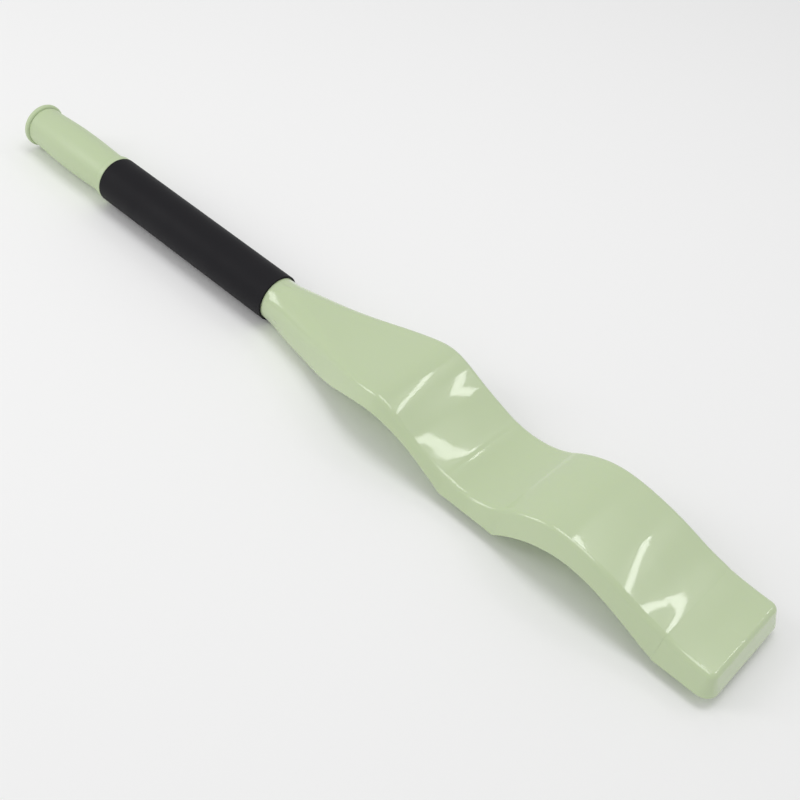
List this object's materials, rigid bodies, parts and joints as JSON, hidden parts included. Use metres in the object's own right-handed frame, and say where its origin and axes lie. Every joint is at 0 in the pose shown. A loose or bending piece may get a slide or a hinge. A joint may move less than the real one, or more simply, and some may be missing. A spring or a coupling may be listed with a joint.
{
  "type": "wavy traffic baton light",
  "caption": "A pale-green hand-held traffic bat with a flat blade bent into two humps, a black round grip, a twisting end handle and a screw cap over its battery column.",
  "frame": {"origin": "centre of the grip sleeve on its axis", "axes": "+X along the grip towards the blade's tip, +Z away from the blade's flat feet, +Y to the left when looking along +X"},
  "size_m": [0.6315, 0.0812, 0.0414],
  "materials": {
    "blade_green": "glossy translucent pale green moulding",
    "cover_green": "satin pale green moulding",
    "zinc_steel": "zinc plated",
    "white_sheet": "matt white diffuse reflector",
    "strip_white": "white solder mask",
    "led_lens": "phosphor under clear resin",
    "clip_nylon": "natural nylon",
    "carrier_black": "fine texture",
    "board_green": "green solder mask",
    "chip_black": "epoxy",
    "ferrite_black": "ferrite",
    "can_aluminium": "drawn can",
    "lead_red": "insulated wire",
    "lead_black": "insulated wire",
    "tube_aluminium": "drawn tube, as turned",
    "black_oxide": "black oxide",
    "sleeve_rubber": "matt moulded",
    "contact_brass": "bright",
    "cell_jacket": "shrink jacket",
    "collar_green": "moulded",
    "washer_white": "low-friction plastic",
    "handle_green": "semi-matt moulded",
    "spring_steel": "nickel plated wire",
    "seal_rubber": "nitrile"
  },
  "bodies": {
    "baton": {"blade_shell": "blade_green", "base_cover": "cover_green", "cover_screws": "zinc_steel", "reflector_sheet": "white_sheet", "led_strip": "strip_white", "leds": "led_lens", "strip_clips": "clip_nylon", "board_carrier": "carrier_black", "driver_board": "board_green", "board_screws": "zinc_steel", "driver_chip": "chip_black", "driver_inductor": "ferrite_black", "driver_capacitor": "can_aluminium", "driver_resistors": "chip_black", "strip_connector": "clip_nylon", "lead_positive": "lead_red", "lead_negative": "lead_black", "grip_tube": "tube_aluminium", "neck_screws": "black_oxide", "grip_sleeve": "sleeve_rubber", "bulkhead": "carrier_black", "positive_contact": "contact_brass", "cell_1": "cell_jacket", "cell_2": "cell_jacket", "cell_3": "cell_jacket", "cell_4": "cell_jacket", "collar_ring": "collar_green", "thrust_washer": "washer_white", "contact_track": "contact_brass"},
    "end_handle": {"end_handle_barrel": "handle_green", "battery_liner": "contact_brass"},
    "cap_carrier": {"tail_contact": "contact_brass", "battery_spring": "spring_steel"},
    "cap": {"pommel_cap": "handle_green", "pommel_o_ring": "seal_rubber"}
  },
  "joints": [
    {"name": "end_handle_twist", "type": "hinge", "parent": "baton", "child": "end_handle", "pos_m": [-0.13, 0, 0], "axis": [1, 0, 0], "range_deg": [0, 90]},
    {"name": "cap_travel", "type": "slide", "parent": "end_handle", "child": "cap_carrier", "axis": [-1, 0, 0], "range_m": [0, 0.0031], "deforming": ["battery_spring"]},
    {"name": "cap_turn", "type": "hinge", "parent": "cap_carrier", "child": "cap", "pos_m": [-0.1625, 0, 0], "axis": [1, 0, 0], "range_deg": [0, 360]}
  ],
  "couplings": [
    {"joint": "cap_travel", "follows": "cap_turn", "m_per_rad": 0.000477}
  ]
}
